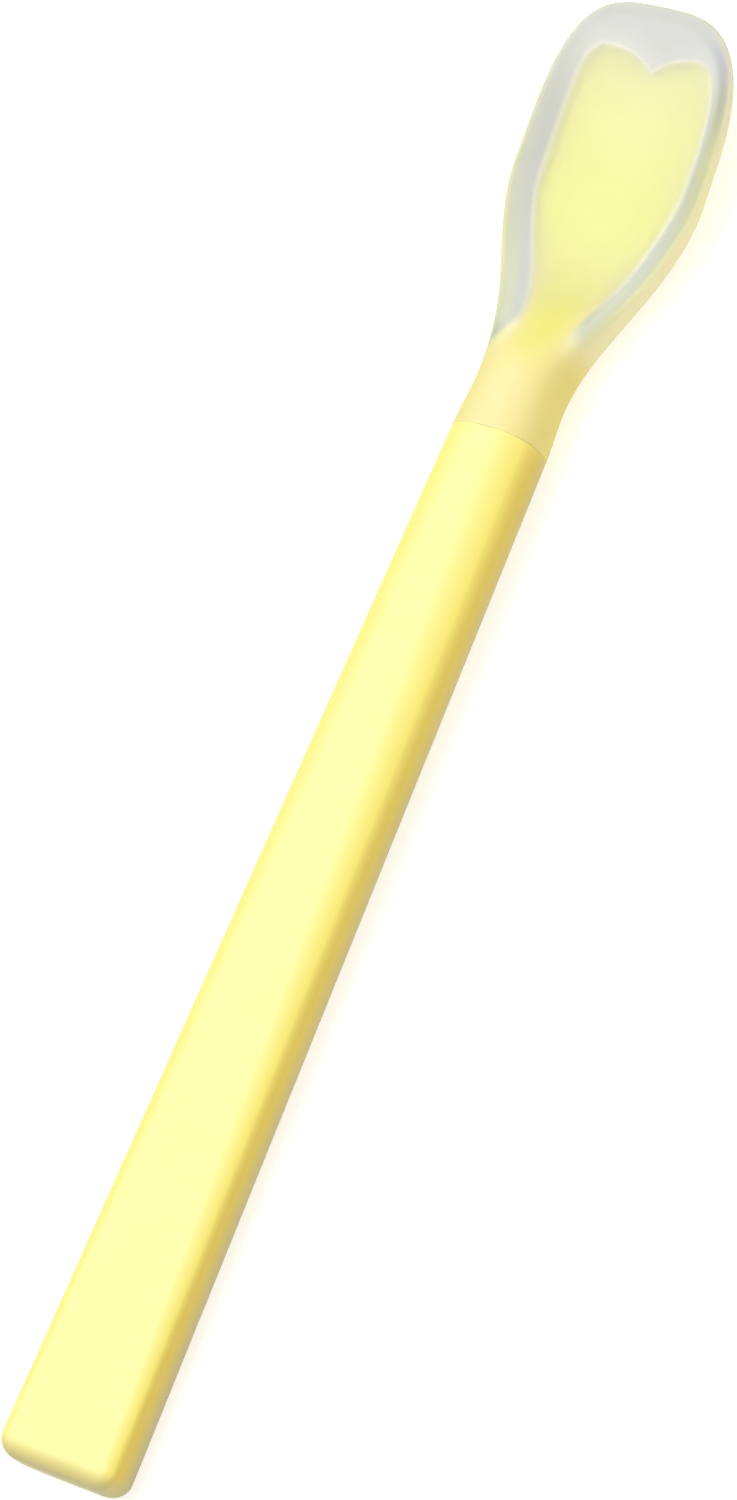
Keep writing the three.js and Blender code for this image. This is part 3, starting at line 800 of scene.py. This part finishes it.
def camera_axes():
    """Rows: the camera's right, up and back. The spoon is rolled about X, tilted about Y, laid with
    X up the picture, and spun in the picture plane."""
    cr, sr, ct, st, cs, ss = (f(a) for a in (VIEW_ROLL, VIEW_TILT, VIEW_SPIN) for f in (np.cos, np.sin))
    roll = np.array([[1, 0, 0], [0, cr, -sr], [0, sr, cr]])
    tilt = np.array([[ct, 0, st], [0, 1, 0], [-st, 0, ct]])
    upright = np.array([[0, -1, 0], [1, 0, 0], [0, 0, 1]])
    spin = np.array([[cs, -ss, 0], [ss, cs, 0], [0, 0, 1]])
    return spin @ upright @ tilt @ roll


def photo_camera(axes):
    """The photograph's view, from the butt end and the spoon's right, high above it."""
    lens = bpy.data.cameras.new("photo_view")
    lens.lens = FOCAL_PIXELS / PHOTO_HEIGHT * lens.sensor_width
    lens.clip_start = NEAREST_SEEN * MM
    turned = np.eye(4)
    turned[:3, :3] = axes.T
    turned[:3, 3] = axes.T @ np.array([-SHIFT_X, -SHIFT_Y, DISTANCE]) * MM
    camera = bpy.data.objects.new("photo_view", lens)
    camera.matrix_world = Matrix(turned.tolist())
    bpy.context.scene.collection.objects.link(camera)
    bpy.context.scene.camera = camera


def seen_ray(add, *kinds):
    """1 for rays that the camera sends out and for rays of these kinds, and 0 for the rest."""
    path = add("ShaderNodeLightPath")
    seen = path.outputs["Is Camera Ray"]
    for kind in kinds:
        either = add("ShaderNodeMath", [(seen, 0), (path.outputs[kind], 1)], operation="MAXIMUM")
        seen = either.outputs[0]
    return seen


def pale_floor():
    """A plain square floor, lifted to white where the camera sees it, straight, in a gloss or through
    the silicone."""
    finish, tree, shader, add = new_finish("pale_floor")
    shader.inputs["Base Color"].default_value = (FLOOR_TONE, FLOOR_TONE, FLOOR_TONE, 1)
    shader.inputs["Roughness"].default_value = 0.9
    shader.inputs["Specular IOR Level"].default_value = 0.1
    shader.inputs["Emission Color"].default_value = WHITE
    seen = seen_ray(add, "Is Glossy Ray", "Is Transmission Ray")
    tree.links.new(between(add, seen, 0, FLOOR_LIFT), shader.inputs["Emission Strength"])
    corners = np.array([(-1, -1, 0), (1, -1, 0), (1, 1, 0), (-1, 1, 0)]) * FLOOR_HALF
    mesh = bpy.data.meshes.new("floor")
    mesh.from_pydata(((corners - [0, 0, FLOOR_DROP]) * MM).tolist(), [], [(0, 1, 2, 3)])
    mesh.materials.append(finish)
    floor = bpy.data.objects.new("floor", mesh)
    bpy.context.scene.collection.objects.link(floor)


def soft_light(axes, name, towards, distance, size, power, colour):
    """A square lamp of this size, looking at the spoon from a direction given in view axes, with lengths
    in metres and its power in watts."""
    lamp = bpy.data.lights.new(name, "AREA")
    lamp.shape = "SQUARE"
    lamp.size = size
    lamp.energy = power
    lamp.color = colour
    away = Vector(axes.T @ np.array(towards, float)).normalized()
    light = bpy.data.objects.new(name, lamp)
    light.matrix_world = Matrix.LocRotScale(away * distance, away.to_track_quat("Z", "Y"), None)
    bpy.context.scene.collection.objects.link(light)


def white_room():
    """An even white world: full white where the camera sees it, dimmer where it lights the spoon. Rays
    that went through the silicone aren't raised, because they light the core behind it."""
    world = bpy.data.worlds.new("white_room")
    world.use_nodes = True
    tree = world.node_tree
    add = node_adder(tree)
    background = tree.nodes["Background"]
    background.inputs["Color"].default_value = WHITE
    tree.links.new(between(add, seen_ray(add), WORLD_LIGHT, 1), background.inputs["Strength"])
    bpy.context.scene.world = world


mesh_piece("handle_body", *handle_skin(), "handle", "handle_plastic", handle_finish())
mesh_piece("core_insert", *core_skin(), "core", "core_plastic", core_finish())
mesh_piece("silicone_bowl_soft", *bowl_skin(), "silicone_bowl", "silicone", silicone_finish())

view_axes = camera_axes()
photo_camera(view_axes)
pale_floor()
soft_light(
    view_axes, "key_light", towards=(-0.7, 0.5, 0.7), distance=0.8, size=0.6, power=4.6, colour=(1, 1, 1),
)
soft_light(
    view_axes, "warm_fill", towards=(0.8, 0.2, 0.9), distance=0.9, size=0.6, power=2.4,
    colour=(1.0, 0.92, 0.76),
)
white_room()
bpy.context.scene.view_settings.view_transform = "Standard"
